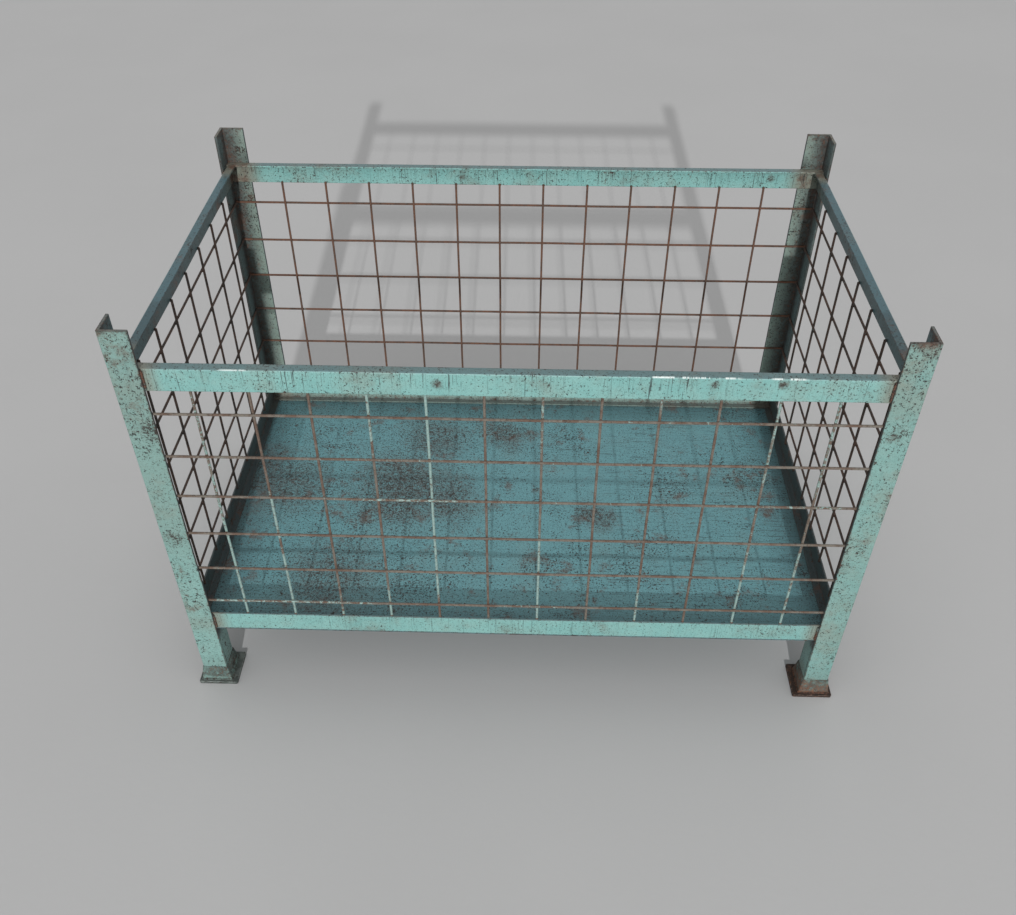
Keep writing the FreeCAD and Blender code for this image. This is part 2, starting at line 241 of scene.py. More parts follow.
def paintSteel(name, look):
    # enamel on steel: faded and grimy, with painted shade on upward, inward and shaded faces and a painted
    # highlight on the front top rail's fold; peppered with small chips, bare and rusty in spots and along
    # edges
    graph = Graph(name)
    place = x, y, z = [graph.axis(letter) for letter in "XYZ"]
    edge = graph.attribute("edge")
    grain = graph.cloud(170.0, 4.0, 0.7)
    speckled = graph.cloud(480.0, 2.0, 0.8)
    sideways = x * graph.axis("X", graph.facing)
    faces = {
        "upward": graph.axis("Z", graph.facing).between(0.45, 0.8),
        "inward": sideways.between(-0.2, -0.4) * z.between(0.12, 0.165),
        "inwardY": (y * graph.axis("Y", graph.facing)).between(-0.1, -0.2),
        "outward": sideways.between(0.2, 0.45),
    }

    colour, broad = fadedAndShadedEnamel(graph, look, faces)
    colour = graph.mix((speckled - 0.44) * look["grain"], colour, rust["soot"])
    colour, grime = dirtAndShadeOver(graph, look, place, faces, grain, colour)
    runs = hangingRuns(graph, z) * look["runs"] * (1.0 - faces["upward"])
    colour = graph.mix(runs, colour, rust["soot"])

    crowd = graph.cloud(look["crowdScale"], 4.0, 0.7).between(0.42, 0.64)
    if "crowd" in look:
        crowd = crowd.most(look["crowd"](x, y, z))
    pepper = (graph.cloud(215.0, 2.0, 0.75) + crowd * look["pepper"]).between(0.632, 0.650)
    dashes = graph.cloud(1.0, 4.0, 0.85, graph.stretched(135.0, 135.0, 90.0))
    flecks = (dashes + crowd * look["flecks"]).between(0.645, 0.662)
    flakes = graph.cloud(38.0, 6.0, 0.85) + crowd * 0.05 + edge * 0.03
    chips = flakes.between(look["chips"], look["chips"] + 0.015)
    worn = (edge * 0.9 + (graph.cloud(85.0, 4.0, 0.8) - 0.5) * 1.9).between(1.0 - look["edgeWear"], 1.15)
    bare = flecks.most(chips).most(worn)
    colour = graph.mix(pepper * 0.94, colour, rust["pepper"])
    if "scratched" in look:
        scored = graph.cloud(1.0, 3.0, 0.7, graph.stretched(11.0, 380.0, 1.0)).between(0.57, 0.64)
        scored = scored * crowd.most(x.between(0.0, 0.3)) * look["scratched"]
        colour = graph.mix(scored, colour, rust["soot"])
    metal = graph.mix(grain.between(0.48, 0.70), rust["dark"], rust["brown"])
    colour = graph.mix(bare * 0.94, colour, metal)
    haze = (graph.cloud(20.0, 5.0, 0.75) + crowd * 0.12).between(0.60, 0.78) * look["haze"]
    colour = graph.mix(haze, colour, rust["brown"])
    if "footRust" in look:
        colour = rustFoot(graph, place, grain, colour)
    if "glint" in look:
        colour = graph.mix(look["glint"](graph, x, y, z), colour, look["glintTint"])
    if "stains" in look:
        colour = stainPaint(graph, look, colour)

    roughness = look["roughness"] + bare * 0.3 + grime * 0.2 + runs * 0.1
    height = (speckled - 0.5) * 0.14 + broad * 0.5 - bare * 0.45 - pepper * 0.2
    return graph.finish(colour, roughness, height, 0.0005)


# where the masks and stains below lie: the front rails, the rear top rail's face, the rear right post's toe,
# the front posts' face, the posts' top and the floor's rear right corner
topRailLow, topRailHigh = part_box("top_rail_front")
lowRailLow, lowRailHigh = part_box("bottom_rail_front")
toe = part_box("post_rear_right")[0]
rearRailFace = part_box("top_rail_rear")[1].y - 0.004
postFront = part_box("post_front_left")[0].y
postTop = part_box("post_front_left")[1].z
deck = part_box("floor_sheet")[1]


def railEnds(x, y, z):
    # dirt gathers where the rails run into the posts, and along the rear bottom rail
    ends = abs(x).between(toe.x - 0.055, toe.x + 0.015) * abs(y).between(toe.y - 0.065, toe.y + 0.010)
    low = y.between(toe.y + 0.005, toe.y + 0.025) * z.between(lowRailHigh.z + 0.026, lowRailHigh.z + 0.006)
    return ends.most(low * 0.60)


def foldGlint(graph, x, y, z):
    # painted highlight: thin pale streaks along the front top rail's fold, as if its rounded edge caught the
    # light
    line = z.between(topRailHigh.z - 0.0025, topRailHigh.z - 0.0018)
    line = line * y.between(topRailLow.y + 0.0028, topRailLow.y + 0.0018)
    # the spans of the fold that carry the painted highlight
    rubbed = abs(x - 0.28).between(0.10, 0.07).most(abs(x - 0.45).between(0.035, 0.020))
    rubbed = rubbed.most(abs(x + 0.47).between(0.03, 0.015) * 0.7)
    return line * rubbed * graph.cloud(1.0, 4.0, 0.8, graph.stretched(34.0, 2.0, 2.0)).between(0.46, 0.54)


def postEnds(x, y, z):
    # grime at the top, at both rail levels and at the foot, and all over the rear posts
    top = z.between(postTop - 0.135, postTop - 0.015) * 0.34
    foot = (z.between(0.050, 0.0) * 0.40).most(z.between(0.10, 0.05) * 0.22)
    topRail = abs(z - (topRailLow.z + 0.009)).between(0.09, 0.0)
    lowRail = abs(z - (lowRailLow.z + 0.022)).between(0.06, 0.0)
    rails = topRail.most(lowRail) * 0.45
    leftMiddle = x.between(0.0, -0.3) * z.between(0.26, 0.48) * 0.30
    return top.most(foot).most(rails).most(y.between(0.2, 0.3) * 0.62).most(leftMiddle)


def floorRim(x, y, z):
    sides = abs(x).between(deck.x - 0.039, deck.x - 0.007)
    return sides.most(abs(y).between(deck.y - 0.029, deck.y - 0.013)) * 0.5


def rearLipShade(x, y, z):
    # painted shadow: a dark line along the rear bottom rail's lip, just above the floor
    return y.between(toe.y + 0.005, toe.y + 0.025) * z.between(deck.z + 0.014, deck.z + 0.006) * 0.42


def postShade(x, y, z):
    # rust at the rails' level on the rear posts' tops, soot over the left post's middle and the feet
    rear = y.between(0.2, 0.3) * abs(z - (topRailHigh.z + 0.008)).between(0.040, 0.0) * 0.6
    left = x.between(0.0, -0.3) * abs(z - 0.62).between(0.30, 0.15) * 0.10
    return rear.most(left).most(z.between(0.10, 0.05) * 0.12)


def postCrowd(x, y, z):
    # specks stand thick on the left post's top and middle, and at one spot of the right one
    left = abs(z - 0.72).between(0.10, 0.02).most(abs(z - 0.87).between(0.05, 0.01) * 0.8)
    right = abs(z - 0.73).between(0.06, 0.01) * 0.6
    return (x.between(0.0, -0.3) * left).most(x.between(0.0, 0.3) * right)


def floorCrowd(x, y, z):
    # and on the floor's left half
    return x.between(0.15, -0.25) * 0.55


def shadedPostCrook(across):
    # painted shade deep in the angle's corner; across is |y|, or 0.6 of |x|, which are about the same there
    return abs(across).between(0.372, 0.400) * 0.9


def lowSideShade(x, y, z):
    # painted shade: the side bottom rails' inner faces darkened nearly to black, where the front posts shade
    # them
    return z.between(lowRailHigh.z + 0.046, lowRailHigh.z + 0.006) * 0.85


def floorShade(x, y, z):
    # painted shade: the sheet darkens towards its rim, where the posts and rails shade it
    sides = abs(x).between(deck.x - 0.129, deck.x - 0.004)
    return sides.most(abs(y).between(deck.y - 0.109, deck.y - 0.009)) * 0.62


barLook = {
    "light": tint(0.228, 0.462, 0.432),
    "deep": tint(0.186, 0.412, 0.390),
    "chalk": tint(0.275, 0.470, 0.436),
    # painted shade: the colour of upward faces and the one of inward faces below, both darker than the lit
    # enamel
    "top": tint(0.128, 0.222, 0.232),
    "inside": tint(0.060, 0.110, 0.118),
    # painted shade: the colour that the shade mask darkens towards
    "shadeAndSoot": tint(0.040, 0.052, 0.052),
    "shade": rearLipShade,
    "grain": 1.1,
    "fadeScale": 5.0,
    "grime": 0.35,
    "jointDirt": railEnds,
    "runs": 0.85,
    "crowdScale": 9.0,
    "pepper": 0.034,
    "flecks": 0.040,
    "chips": 0.668,
    "haze": 0.25,
    "edgeWear": 0.42,
    "roughness": 0.42,
}
# each stain below is its place, its radius and how strong it is
railLook = dict(
    barLook,
    # painted highlight: pale streaks along the front top rail's fold
    glint=foldGlint,
    glintTint=tint(0.66, 0.74, 0.72),
    wander=(60.0, 0.012),
    stainSoot=0.4,
    stainBrown=0.6,
    stains=(
        ((-0.131, topRailLow.y, 0.815), 0.014, 1.0),
        ((0.444, topRailLow.y, 0.826), 0.014, 1.0),
        ((0.330, topRailLow.y, 0.823), 0.012, 0.7),
        ((-0.139, rearRailFace, 0.809), 0.012, 0.8),
        ((0.560, rearRailFace, 0.814), 0.014, 0.8),
    ),
)
shadedSideRailLook = dict(
    barLook,
    # painted shade: the side rails' enamel colours are dark blue, as the enamel looks in shade on their
    # inner faces and lips; their outer faces take the lit enamel colour
    light=tint(0.070, 0.165, 0.190),
    deep=tint(0.048, 0.120, 0.142),
    chalk=tint(0.110, 0.205, 0.220),
    top=tint(0.064, 0.138, 0.162),
    shade=lowSideShade,
    pepper=0.05,
    flecks=0.04,
    outside=tint(0.196, 0.405, 0.385),
    chips=0.655,
    haze=0.6,
    grime=0.12,
    edgeWear=0.45,
)
postLook = {
    # crook: painted shade in the angle's corner
    "crook": shadedPostCrook,
    "light": tint(0.216, 0.392, 0.360),
    "deep": tint(0.184, 0.352, 0.325),
    "chalk": tint(0.250, 0.388, 0.356),
    # painted shade: the colour of upward faces and the one of inward faces below, both darker than the lit
    # enamel
    "top": tint(0.100, 0.120, 0.120),
    "inside": tint(0.058, 0.112, 0.124),
    # the colour that the corner and the shade mask darken towards: painted shade in the corner, rust and
    # soot from the shade mask
    "shadeAndSoot": tint(0.040, 0.052, 0.052),
    "shade": postShade,
    "crowd": postCrowd,
    "grain": 1.2,
    "fadeScale": 4.0,
    "grime": 0.60,
    "jointDirt": postEnds,
    "runs": 0.2,
    "crowdScale": 6.5,
    "pepper": 0.052,
    "flecks": 0.040,
    "chips": 0.640,
    "haze": 0.50,
    "edgeWear": 0.84,
    "roughness": 0.5,
    "footRust": True,
    "wander": (40.0, 0.03),
    "stainSoot": 0.08,
    "stainBrown": 0.22,
    "stains": (
        ((-0.634, postFront, 0.869), 0.030, 0.55),
        ((-0.629, postFront, 0.710), 0.040, 0.75),
        ((-0.654, postFront, 0.440), 0.030, 1.0),
        ((0.650, postFront, 0.731), 0.024, 0.9),
        ((0.624, postFront, 0.405), 0.040, 0.6),
        ((0.664, postFront, 0.900), 0.026, 0.8),
    ),
}
floorLook = {
    "light": tint(0.156, 0.384, 0.424),
    "deep": tint(0.124, 0.330, 0.372),
    "chalk": tint(0.170, 0.330, 0.345),
    # painted shade: the colour of upward faces, a little darker, and the one of inward faces below
    "top": tint(0.150, 0.362, 0.398),
    "inside": tint(0.058, 0.112, 0.124),
    # painted shade: the colour that the sheet darkens towards near its rim
    "shadeAndSoot": tint(0.040, 0.082, 0.095),
    "shade": floorShade,
    "crowd": floorCrowd,
    "grain": 1.9,
    "fadeScale": 4.0,
    "grime": 0.14,
    "jointDirt": floorRim,
    "runs": 0.0,
    "crowdScale": 6.0,
    "pepper": 0.074,
    "flecks": 0.060,
    "chips": 0.662,
    "haze": 0.62,
    "edgeWear": 0.2,
    "roughness": 0.48,
    "scratched": 0.6,
    "wander": (12.0, 0.09),
    "stainSoot": 0.16,
    "stainBrown": 0.42,
    "stains": (
        ((-0.275, 0.045, deck.z), 0.19, 1.0),
        ((-0.175, 0.005, deck.z), 0.12, 0.9),
        ((-0.555, 0.045, deck.z), 0.15, 0.8),
        ((-0.410, -0.245, deck.z), 0.16, 0.8),
        ((0.188, -0.035, deck.z), 0.07, 1.0),
        ((-0.215, 0.235, deck.z), 0.13, 0.8),
        ((-0.038, 0.249, deck.z), 0.09, 0.7),
        ((-0.620, 0.137, deck.z), 0.10, 0.8),
    ),
}


def coatWire(name):
    # drawn wire, rusted, with flakes of paint where paintLeft says so; shade darkens it
    graph = Graph(name)
    left = graph.attribute("paintLeft")
    shade = graph.attribute("shade")
    grain = graph.cloud(230.0, 4.0, 0.75)
    patches = graph.cloud(34.0, 4.0, 0.7).between(0.40, 0.60)
    pale = graph.mix(patches, tint(0.172, 0.150, 0.124), tint(0.126, 0.082, 0.060))
    brown = graph.mix(patches, tint(0.092, 0.052, 0.036), tint(0.140, 0.064, 0.038))
    black = graph.mix(patches, tint(0.044, 0.036, 0.031), tint(0.088, 0.054, 0.041))
    colour = graph.mix(shade.between(0.0, 0.5), pale, brown)
    colour = graph.mix(shade.between(0.5, 1.0), colour, black)
    colour = graph.mix(grain.between(0.50, 0.68) * 0.75, colour, rust["dark"])
    flakes = (left * 0.8 + 0.04 + (graph.cloud(110.0, 5.0, 0.8) - 0.5) * 2.6).between(0.50, 0.66)
    enamel = graph.mix(grain.between(0.35, 0.65), tint(0.195, 0.330, 0.305), tint(0.330, 0.455, 0.425))
    enamel = graph.mix(shade.between(0.1, 0.9) * 0.75, enamel, tint(0.050, 0.105, 0.120))
    colour = graph.mix(flakes * 0.92, colour, enamel)
    roughness = 0.85 - flakes * 0.35
    height = grain * 0.6 + flakes * 0.5
    return graph.finish(colour, roughness, height, 0.0004)


def rustPlate(name):
    # foot plate: rusted through on the right, dirty paint left on the left
    graph = Graph(name)
    x, y, z = (graph.axis(letter) for letter in "XYZ")
    edge = graph.attribute("edge")
    grain = graph.cloud(190.0, 5.0, 0.75)
    crust = graph.mix(grain.between(0.47, 0.72), rust["dark"], rust["brown"])
    crust = graph.mix(graph.cloud(60.0, 4.0, 0.7).between(0.57, 0.71), crust, rust["orange"])
    film = graph.cloud(40.0, 4.0).between(0.4, 0.6)
    film = graph.mix(film, tint(0.060, 0.072, 0.066), tint(0.115, 0.135, 0.124))
    share = x.between(0.5, -0.5) * 0.75 + (graph.cloud(50.0, 4.0, 0.7) - 0.5) * 1.2
    colour = graph.mix(share.between(0.42, 0.55), crust, film)
    pits = graph.spots(200.0, 0.5, graph.ragged(160.0, 0.0035))
    colour = graph.mix(pits * 0.8, colour, rust["dark"])
    rubbed = (edge + (grain - 0.5) * 1.2).between(0.72, 1.05)
    bare = graph.mix(x.between(0.2, -0.2), tint(0.230, 0.165, 0.140), tint(0.330, 0.365, 0.345))
    colour = graph.mix(rubbed * 0.7, colour, bare)
    return graph.finish(colour, 0.9 - rubbed * 0.35, grain + share * 0.3 - pits * 0.5, 0.0009)


def paintWelds(name):
    # beads of weld, painted over and rusting first
    graph = Graph(name)
    x, z = graph.axis("X"), graph.axis("Z")
    grain = graph.cloud(240.0, 4.0, 0.7)
    patch = graph.cloud(38.0, 4.0, 0.7) + z.between(0.06, 0.0) * (x.between(-0.2, 0.2) * 0.35 - 0.15)
    colour = graph.mix(patch.between(0.38, 0.52), tint(0.100, 0.135, 0.120), rust["brown"])
    colour = graph.mix(grain.between(0.44, 0.58), colour, rust["dark"])
    return graph.finish(colour, 0.6 + patch * 0.3, grain, 0.0006)


def stageGround(name):
    # a plain pale floor
    graph = Graph(name)
    uneven = graph.cloud(1.2, 3.0).between(0.3, 0.7)
    colour = graph.mix(uneven, tint(0.492, 0.492, 0.492), tint(0.505, 0.505, 0.505))
    return graph.finish(colour, 0.9, graph.cloud(60.0), 0.0002)


railPaint = paintSteel("rail_paint", railLook)
# the side rails' enamel, with painted shade on their inner faces and lips
sideRailPaintAndShade = paintSteel("side_rail_paint_and_shade", shadedSideRailLook)
postPaint = paintSteel("post_paint", postLook)
floorPaint = paintSteel("floor_paint", floorLook)
wireCoat = coatWire("mesh_wire")
plateCoat = rustPlate("foot_plate_rust")
weldCoat = paintWelds("weld_paint")
print("materials made")


def copyNode(node):
    # a merged copy of the CAD node's mesh, its flat faces whole again
    bm = bmesh.new()
    bm.from_mesh(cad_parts[node].data)
    bmesh.ops.remove_doubles(bm, verts=bm.verts[:], dist=2e-5)
    bmesh.ops.dissolve_limit(bm, angle_limit=math.radians(1), verts=bm.verts[:], edges=bm.edges[:])
    return bm


def sliceAt(bm, axis, spot):
    normal = Vector([float(index == axis) for index in range(3)])
    everything = bm.verts[:] + bm.edges[:] + bm.faces[:]
    bmesh.ops.bisect_plane(bm, geom=everything, dist=1e-6, plane_co=normal * spot, plane_no=normal)


def sliceAlong(bm, axis, step):
    # loops across the piece, at most a step apart
    places = [vert.co[axis] for vert in bm.verts]
    low = min(places)
    count = math.ceil((max(places) - low) / step)
    for index in range(1, count):
        sliceAt(bm, axis, low + (max(places) - low) * index / count)


settleLook = {
    "reach": 0.0008,
    "waves": 3.7,
    "from": Vector((3.1, 7.7, 1.3)),
    "footHeight": 0.02,
    "over": 0.10,
}


def settling(co):
    # how the whole frame has been knocked out of true, the same for every piece, so that joints stay shut
    push = noise.noise_vector(co * settleLook["waves"] + settleLook["from"]) * settleLook["reach"]
    rise = min(1.0, max(0.0, (co.z - settleLook["footHeight"]) / settleLook["over"]))
    return Vector((push.x, push.y, 0.0)) * rise


def distanceTo(co, start, end):
    # from a point to the nearest place on an edge
    along = end - start
    share = max(0.0, min(1.0, (co - start).dot(along) / along.length_squared))
    return (start + along * share - co).length


def shapeBar(bm, look):
    # soften a bar's edges, give it loops, mark how near each point is to an edge, and knock it about
    sharp = [edge for edge in bm.edges if edge.calc_face_angle(0.0) > math.radians(50)]
    rims = [[vert.co.copy() for vert in edge.verts] for edge in sharp if edge.calc_length() > 0.01]
    bmesh.ops.bevel(
        bm, geom=sharp, offset=look["softness"], offset_type="OFFSET", segments=2, profile=0.5,
        affect="EDGES", material=-1, clamp_overlap=True,
    )
    sliceAlong(bm, look["axis"], look["step"])
    for axis in range(3):
        if axis != look["axis"]:
            places = [vert.co[axis] for vert in bm.verts]
            for spot in (min(places) + look["band"], max(places) - look["band"]):
                sliceAt(bm, axis, spot)
    edgeLayer = bm.verts.layers.float.new("edge")
    for vert in bm.verts:
        away = min(distanceTo(vert.co, *rim) for rim in rims)
        vert[edgeLayer] = max(0.0, 1.0 - away / look["band"])
    for vert in bm.verts:
        nick = noise.noise(vert.co * look["nicksPerMetre"]) * look["nick"] * vert[edgeLayer]
        inward = (look["middle"] - vert.co).normalized()
        inward[look["axis"]] = 0.0
        vert.co += settling(vert.co) + inward * max(0.0, nick)


def putOut(bm, name, finish, slot, *replaced):
    mesh = bpy.data.meshes.new(name)
    bm.to_mesh(mesh)
    bm.free()
    mesh.shade_smooth()
    mesh.set_sharp_from_angle(angle=math.radians(34))
    mesh.materials.append(finish)
    piece = bpy.data.objects.new(name, mesh)
    bpy.context.scene.collection.objects.link(piece)
    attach(piece, "root")
    if replaced:
        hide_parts(*replaced)
    return piece


def middleOf(node):
    low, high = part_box(node)
    return (low + high) / 2


def wornNode(node, shape, axis):
    # the node's mesh with soft, nicked edges; axis is the one that the piece runs along
    bm = copyNode(node)
    shapeBar(bm, dict(shape, axis=axis, middle=middleOf(node)))
    return bm


# softness rounds the edges; the edge mark fades over the band; nicks go up to nick deep
postShape = {"softness": 0.0005, "step": 0.02, "band": 0.003, "nick": 0.0012, "nicksPerMetre": 55.0}
railShape = {"softness": 0.0004, "step": 0.02, "band": 0.0025, "nick": 0.0008, "nicksPerMetre": 55.0}
collarShape = {"softness": 0.0003, "step": 0.008, "band": 0.002, "nick": 0.0008, "nicksPerMetre": 55.0}
plateShape = {"softness": 0.0009, "step": 0.008, "band": 0.004, "nick": 0.0008, "nicksPerMetre": 55.0}

for corner in corners:
    for kind, shape in (("post", postShape), ("foot_liner", postShape), ("foot_collar", collarShape)):
        node = f"{kind}_{corner}"
        putOut(wornNode(node, shape, 2), f"{node}_worn", postPaint, "post_paint", node)
    node = f"foot_plate_{corner}"
    putOut(wornNode(node, plateShape, 0), f"{node}_worn", plateCoat, "foot_plate_steel", node)
print("posts and foot plates made")

for side in sides:
    axis, finish = (0, railPaint) if side in ("front", "rear") else (1, sideRailPaintAndShade)
    for level in ("top", "bottom"):
        node = f"{level}_rail_{side}"
        putOut(wornNode(node, railShape, axis), f"{node}_worn", finish, "rail_paint", node)
print("rails made")


floorShape = {
    "softness": 0.0006,
    "step": 0.024,
    "band": 0.004,
    "nick": 0.0,
    "nicksPerMetre": 55.0,
    "dish": 0.0022,
    "held": 0.02,
    "ribReach": 0.10,
    "rimReach": 0.12,
}


def dishFloor(bm, look, ribs):
    # the sheet has sunk a little between its stiffeners, and is dented
    low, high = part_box("floor_sheet")
    for vert in bm.verts:
        nearRib = min(abs(vert.co.x - rib) for rib in ribs)
        nearRim = min(high.x - abs(vert.co.x), high.y - abs(vert.co.y))
        free = min(1.0, max(0.0, (nearRib - look["held"]) / look["ribReach"]))
        free *= min(1.0, max(0.0, (nearRim - look["held"]) / look["rimReach"]))
        dent = abs(noise.noise(vert.co * 7.0)) * 0.8 + abs(noise.noise(vert.co * 17.0)) * 0.35
        vert.co.z -= look["dish"] * free * free * (0.35 + dent)


bm = wornNode("floor_sheet", floorShape, 0)
sliceAlong(bm, 1, floorShape["step"])
stiffeners = ("left", "middle", "right")
dishFloor(bm, floorShape, [middleOf(f"floor_stiffener_{name}").x for name in stiffeners])
putOut(bm, "floor_sheet_worn", floorPaint, "floor_paint", "floor_sheet")
for name in stiffeners:
    node = f"floor_stiffener_{name}"
    putOut(wornNode(node, railShape, 1), f"{node}_worn", floorPaint, "floor_paint", node)
print("floor made")


def strands(node):
    # the lowest and highest corners of each separate wire in a CAD node, in order
    bm = bmesh.new()
    bm.from_mesh(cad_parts[node].data)
    bmesh.ops.remove_doubles(bm, verts=bm.verts[:], dist=2e-5)
    waiting = set(bm.verts)
    found = []
    while waiting:
        reached = [waiting.pop()]
        for vert in reached:
            fresh = [edge.other_vert(vert) for edge in vert.link_edges]
            fresh = [other for other in fresh if other in waiting]
            waiting.difference_update(fresh)
            reached.extend(fresh)
        places = [vert.co for vert in reached]
        low = Vector([min(co[axis] for co in places) for axis in range(3)])
        high = Vector([max(co[axis] for co in places) for axis in range(3)])
        found.append((low, high))
    bm.free()
    return sorted(found, key=lambda ends: [round(value, 3) for value in ends[0]])


def readStops(stops, share):
    # straight runs between the stops, each a share of the way and a value
    for (start, first), (end, second) in zip(stops, stops[1:]):
        if share <= end:
            return first + (second - first) * max(0.0, share - start) / (end - start)
    return stops[-1][1]


meshLook = {
    "segments": 10,
    "ringStep": 0.012,
    "bend": 0.0006,
    "bendsPerMetre": 9.0,
    "bendFrom": Vector((2.0, 5.0, 9.0)),
    "nuggetRadius": 0.0031,
    "tackRadius": 0.0032,
    "tackInset": 0.0015,
    "tackProud": 0.0012,
    "tackPaint": 0.3,
    "weldShade": 0.3,
    "sparePaint": {"right_uprights": 0.35},
    "shades": {"front": 0.0, "rear": 0.45, "left": 0.92, "right": 0.86},
    # paint left on each front wire: uprights from the left and read downwards, cross wires from the lowest
    # and read to the right
    "front_uprights": (
        ((0, 0.35), (0.2, 0.6), (0.45, 0.65), (0.55, 0.95), (1, 0.95)),
        ((0, 0.05), (0.38, 0.08), (0.45, 0.8), (0.6, 0.85), (0.64, 0.2), (0.7, 0.85), (1, 0.9)),
        ((0, 0.1), (0.75, 0.15), (0.9, 0.5), (1, 0.75)),
        ((0, 0.8), (0.18, 0.75), (0.25, 0.25), (0.8, 0.2), (0.88, 0.8), (1, 0.8)),
        ((0, 1), (0.85, 0.95), (0.9, 0.35), (1, 0.3)),
        ((0, 0.03), (1, 0.03)),
        ((0, 0.6), (0.15, 0.5), (0.35, 0.3), (0.55, 0.35), (0.62, 0.9), (1, 1)),
        ((0, 0.05), (1, 0.08)),
        ((0, 0.55), (0.12, 0.35), (0.2, 0.12), (0.8, 0.15), (0.88, 0.9), (1, 0.95)),
        ((0, 0.05), (1, 0.05)),
        ((0, 0.75), (0.3, 0.7), (0.35, 0.35), (0.6, 0.4), (0.7, 0.75), (1, 0.8)),
        ((0, 0.7), (0.35, 0.6), (0.45, 0.25), (0.6, 0.3), (0.65, 0.7), (1, 0.9)),
    ),
    "front_cross_wires": (
        ((0, 0.6), (0.27, 0.6), (0.3, 0.1), (0.46, 0.2), (0.48, 0.45), (0.6, 0.35), (0.65, 0.1), (1, 0.3)),
        ((0, 0.35), (0.1, 0.3), (0.2, 0.1), (1, 0.15)),
        ((0, 0.1), (1, 0.1)),
        ((0, 0.3), (0.25, 0.35), (0.3, 0.6), (0.42, 0.6), (0.46, 0.3), (0.7, 0.15), (0.8, 0.5), (1, 0.45)),
        ((0, 0.2), (0.3, 0.35), (0.5, 0.3), (0.8, 0.15), (1, 0.3)),
        ((0, 0.15), (0.6, 0.15), (0.7, 0.35), (1, 0.15)),
    ),
}


def ringedRod(bm, start, end, radius, segments, cuts):
    # a closed round rod with evenly spaced rings; returns its points
    along = end - start
    before = len(bm.verts)
    turn = along.to_track_quat("Z", "Y").to_matrix().to_4x4()
    bmesh.ops.create_cone(
        bm, cap_ends=True, cap_tris=False, segments=segments, radius1=radius, radius2=radius,
        depth=along.length, matrix=Matrix.Translation((start + end) / 2) @ turn,
    )
    bm.verts.ensure_lookup_table()
    fresh = set(bm.verts[before:])
    half = along.length / 2
    lengthwise = [edge for edge in bm.edges if edge.verts[0] in fresh and edge.calc_length() > half]
    bmesh.ops.subdivide_edges(bm, edges=lengthwise, cuts=cuts, use_grid_fill=True)
    bm.verts.ensure_lookup_table()
    return bm.verts[before:]


def drawWire(bm, low, high, look, stops, shade):
    # one wire as a slightly bent tube
    size = high - low
    axis = max(range(3), key=lambda index: size[index])
    start = (low + high) / 2
    end = start.copy()
    start[axis] = low[axis]
    end[axis] = high[axis]
    cuts = math.ceil(size[axis] / look["ringStep"]) - 1
    paintLayer = bm.verts.layers.float["paintLeft"]
    shadeLayer = bm.verts.layers.float["shade"]
    for vert in ringedRod(bm, start, end, min(size) / 2, look["segments"], cuts):
        share = (vert.co[axis] - low[axis]) / size[axis]
        vert[paintLayer] = readStops(stops, 1 - share if axis == 2 else share)
        vert[shadeLayer] = shade
        bend = noise.noise_vector(vert.co * look["bendsPerMetre"] + look["bendFrom"]) * look["bend"]
        vert.co += settling(vert.co) + bend * math.sin(math.pi * share)


def addNugget(bm, spot, radius, paint, shade):
    # a small melted lump
    before = len(bm.verts)
    place = Matrix.Translation(spot)
    bmesh.ops.create_uvsphere(bm, u_segments=8, v_segments=5, radius=radius, matrix=place)
    bm.verts.ensure_lookup_table()
    for vert in bm.verts[before:]:
        vert[bm.verts.layers.float["paintLeft"]] = paint
        vert[bm.verts.layers.float["shade"]] = shade
        vert.co += settling(spot)


def newMeshwork():
    bm = bmesh.new()
    bm.verts.layers.float.new("paintLeft")
    bm.verts.layers.float.new("shade")
    return bm


for side in sides:
    shade = meshLook["shades"][side]
    weldShade = min(1.0, shade + meshLook["weldShade"])
    across = 1 if side in ("front", "rear") else 0
    wires = {}
    for kind in ("uprights", "cross_wires"):
        node = f"{side}_{kind}"
        wires[kind] = strands(node)
        painted = meshLook.get(node)
        spare = meshLook["sparePaint"].get(node, 0.12)
        bm = newMeshwork()
        for index, (low, high) in enumerate(wires[kind]):
            stops = painted[index] if painted else ((0, spare * (index % 3) / 2), (1, spare * (index % 2)))
            drawWire(bm, low, high, meshLook, stops, shade)
        putOut(bm, f"{node}_worn", wireCoat, "mesh_wire", node)
    bm = newMeshwork()
    for uprightLow, uprightHigh in wires["uprights"]:
        upright = (uprightLow + uprightHigh) / 2
        for crossLow, crossHigh in wires["cross_wires"]:
            spot = Vector(upright)
            spot.z = (crossLow.z + crossHigh.z) / 2
            spot[across] = (upright[across] + (crossLow[across] + crossHigh[across]) / 2) / 2
            addNugget(bm, spot, meshLook["nuggetRadius"], 0.0, weldShade)
        for end in (uprightLow.z + meshLook["tackInset"], uprightHigh.z - meshLook["tackInset"]):
            spot = Vector((upright.x, upright.y, end))
            spot[across] += math.copysign(meshLook["tackProud"], spot[across])
            addNugget(bm, spot, meshLook["tackRadius"], meshLook["tackPaint"], weldShade)
    putOut(bm, f"{side}_mesh_welds", wireCoat, "mesh_wire")
print("mesh made")


weldLook = {
    "radius": 0.0034,
    "ripple": 0.0032,
    "ringStep": 0.0009,
    "proud": 0.0012,
    "endGap": 0.002,
    "footRadius": 0.00238,
    "footLift": 0.0008,
}


def layBead(bm, start, end, radius, look):
    # a rippled bead of weld with rounded ends
    along = end - start
    direction = along.normalized()
    for vert in ringedRod(bm, start, end, radius, 8, math.ceil(along.length / look["ringStep"])):
        travelled = (vert.co - start).dot(direction)
        core = start + direction * travelled
        wander = noise.noise(core * 260.0) * 0.12
        ripple = 0.90 + 0.10 * math.cos(travelled / look["ripple"] * 2 * math.pi) + wander
        toEnd = max(0.0, min(travelled, along.length - travelled)) / radius
        taper = math.sqrt(max(0.05, 1.0 - (1.0 - min(1.0, toEnd)) ** 2))
        vert.co = core + (vert.co - core) * ripple * taper
        vert.co += settling(vert.co)


